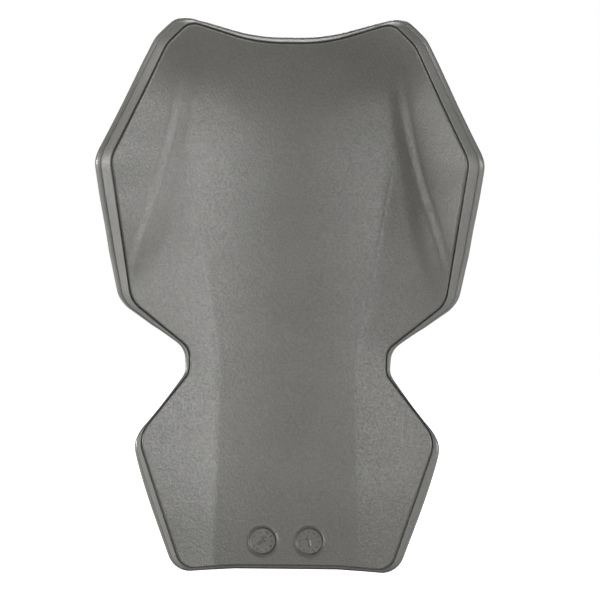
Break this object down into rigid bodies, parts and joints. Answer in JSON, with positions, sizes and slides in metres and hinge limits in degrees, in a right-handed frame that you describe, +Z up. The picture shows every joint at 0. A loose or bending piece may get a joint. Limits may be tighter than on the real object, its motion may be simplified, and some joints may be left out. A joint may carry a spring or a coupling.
{
  "type": "back protector",
  "caption": "Moulded foam back protector pad for a jacket pocket: a waisted shell whose shoulder-blade and hip wings fold towards the wearer.",
  "frame": {"origin": "centre of the flat land on the outer cover, over the spine, the pad's most prominent place at the back", "axes": "+Z up the spine, +Y out of the wearer's back, +X to the wearer's left; the wearer's face looks along -Y"},
  "size_m": [0.299, 0.0729, 0.4297],
  "materials": {
    "liner_foam": "matte, fine-grained closed-cell foam skin",
    "rim_foam": "matte, smooth closed-cell foam skin",
    "core_foam": "matte, dense viscoelastic foam",
    "cover_foam": "matte, fine-grained closed-cell foam skin"
  },
  "bodies": {
    "root": {"comfort_liner": "liner_foam", "rim_frame": "rim_foam", "spine_core": "core_foam", "inner_wing_core_left": "core_foam", "inner_wing_core_right": "core_foam", "outer_wing_core_left": "core_foam", "outer_wing_core_right": "core_foam", "hip_core_left": "core_foam", "hip_core_right": "core_foam", "outer_cover": "cover_foam"}
  },
  "joints": []
}
